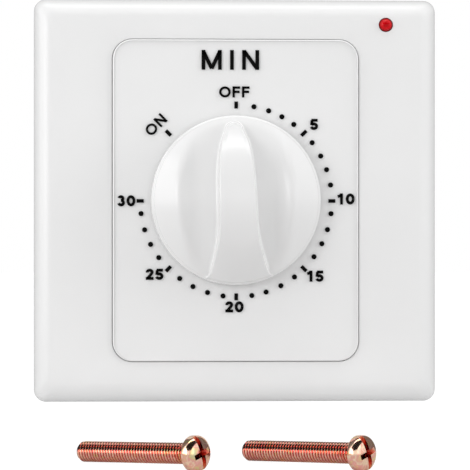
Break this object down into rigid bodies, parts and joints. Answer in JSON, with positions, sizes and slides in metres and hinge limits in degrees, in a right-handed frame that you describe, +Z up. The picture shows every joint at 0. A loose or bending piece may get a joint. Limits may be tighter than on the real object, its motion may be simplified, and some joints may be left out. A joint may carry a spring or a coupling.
{
  "type": "wall-mounted countdown timer switch",
  "caption": "Square wall plate with a turning clockwork timer knob, numbered dial, lamp and rear terminals.",
  "frame": {"origin": "middle of the plate on the wall plane, midway between the two wall screw holes", "axes": "+X right and +Z up as seen from the room, +Y into the wall, so the dial faces -Y"},
  "size_m": [0.086, 0.0998, 0.0944],
  "materials": {
    "white_plastic": "moulded, satin gloss",
    "grey_plastic": "moulded, fine matt",
    "red_lens": "clear tinted epoxy",
    "circuit_board": "phenolic paper board",
    "ceramic_body": "lacquered",
    "zinc_plated_steel": "zinc plated",
    "turned_steel": "turned",
    "spring_steel": "tempered blue",
    "brass": "rolled and stamped",
    "silver_alloy": "polished",
    "tinned_copper": "tinned",
    "black_acetal": "moulded",
    "yellow_passivated_zinc": "yellow passivated zinc plate, iridescent"
  },
  "bodies": {
    "timer_body": {"mounting_base": "white_plastic", "dial_panel": "white_plastic", "indicator_lamp": "red_lens", "lamp_board": "circuit_board", "lamp_leads": "tinned_copper", "lamp_resistor": "ceramic_body", "front_bush": "brass", "bush_nut": "zinc_plated_steel", "front_plate": "zinc_plated_steel", "back_plate": "zinc_plated_steel", "frame_pillars": "zinc_plated_steel", "spring_post": "turned_steel", "mainspring": "spring_steel", "moving_leaf": "brass", "fixed_leaf": "brass", "fixed_contact": "silver_alloy", "moving_contact": "silver_alloy", "contact_block": "grey_plastic", "leaf_pin": "turned_steel", "terminal_block": "grey_plastic", "brass_terminals": "brass", "terminal_screws": "zinc_plated_steel", "rear_housing": "grey_plastic", "housing_screws": "zinc_plated_steel", "wall_screws": "yellow_passivated_zinc"},
    "surround": {"surround_frame": "white_plastic"},
    "knob_and_main_arbor": {"knob": "white_plastic", "knob_clip": "zinc_plated_steel", "main_arbor": "turned_steel", "main_wheel": "brass", "arbor_circlip": "zinc_plated_steel", "switch_cam": "black_acetal"},
    "second_wheel_and_pinion": {"second_arbor": "turned_steel", "second_wheel": "brass"},
    "third_wheel_and_pinion": {"third_arbor": "turned_steel", "third_wheel": "brass"},
    "escape_wheel_and_pinion": {"escape_arbor": "turned_steel", "escape_wheel": "brass"},
    "balance": {"verge": "zinc_plated_steel", "balance_bar": "zinc_plated_steel", "verge_arbor": "turned_steel"}
  },
  "joints": [
    {"name": "knob_turn", "type": "hinge", "parent": "timer_body", "child": "knob_and_main_arbor", "pos_m": [0, 0, 0], "axis": [0, 1, 0], "range_deg": [-45, 270], "deforming": ["mainspring", "moving_leaf"]},
    {"name": "second_wheel_turn", "type": "hinge", "parent": "timer_body", "child": "second_wheel_and_pinion", "pos_m": [0.01178, 0, -0.01061], "axis": [0, 1, 0], "continuous": true},
    {"name": "third_wheel_turn", "type": "hinge", "parent": "timer_body", "child": "third_wheel_and_pinion", "pos_m": [0.00263, 0, -0.01487], "axis": [0, 1, 0], "continuous": true},
    {"name": "escape_wheel_turn", "type": "hinge", "parent": "timer_body", "child": "escape_wheel_and_pinion", "pos_m": [-0.00534, 0, -0.0146], "axis": [0, 1, 0], "continuous": true},
    {"name": "balance_swing", "type": "hinge", "parent": "timer_body", "child": "balance", "pos_m": [-0.01269, 0, -0.01263], "axis": [0, 1, 0], "range_deg": [-6, 6]},
    {"name": "surround_pull_off", "type": "slide", "parent": "timer_body", "child": "surround", "axis": [0, -1, 0], "range_m": [0, 0.03]}
  ],
  "couplings": [
    {"joint": "second_wheel_turn", "follows": "knob_turn", "ratio": -4},
    {"joint": "third_wheel_turn", "follows": "knob_turn", "ratio": 16},
    {"joint": "escape_wheel_turn", "follows": "knob_turn", "ratio": -64}
  ]
}
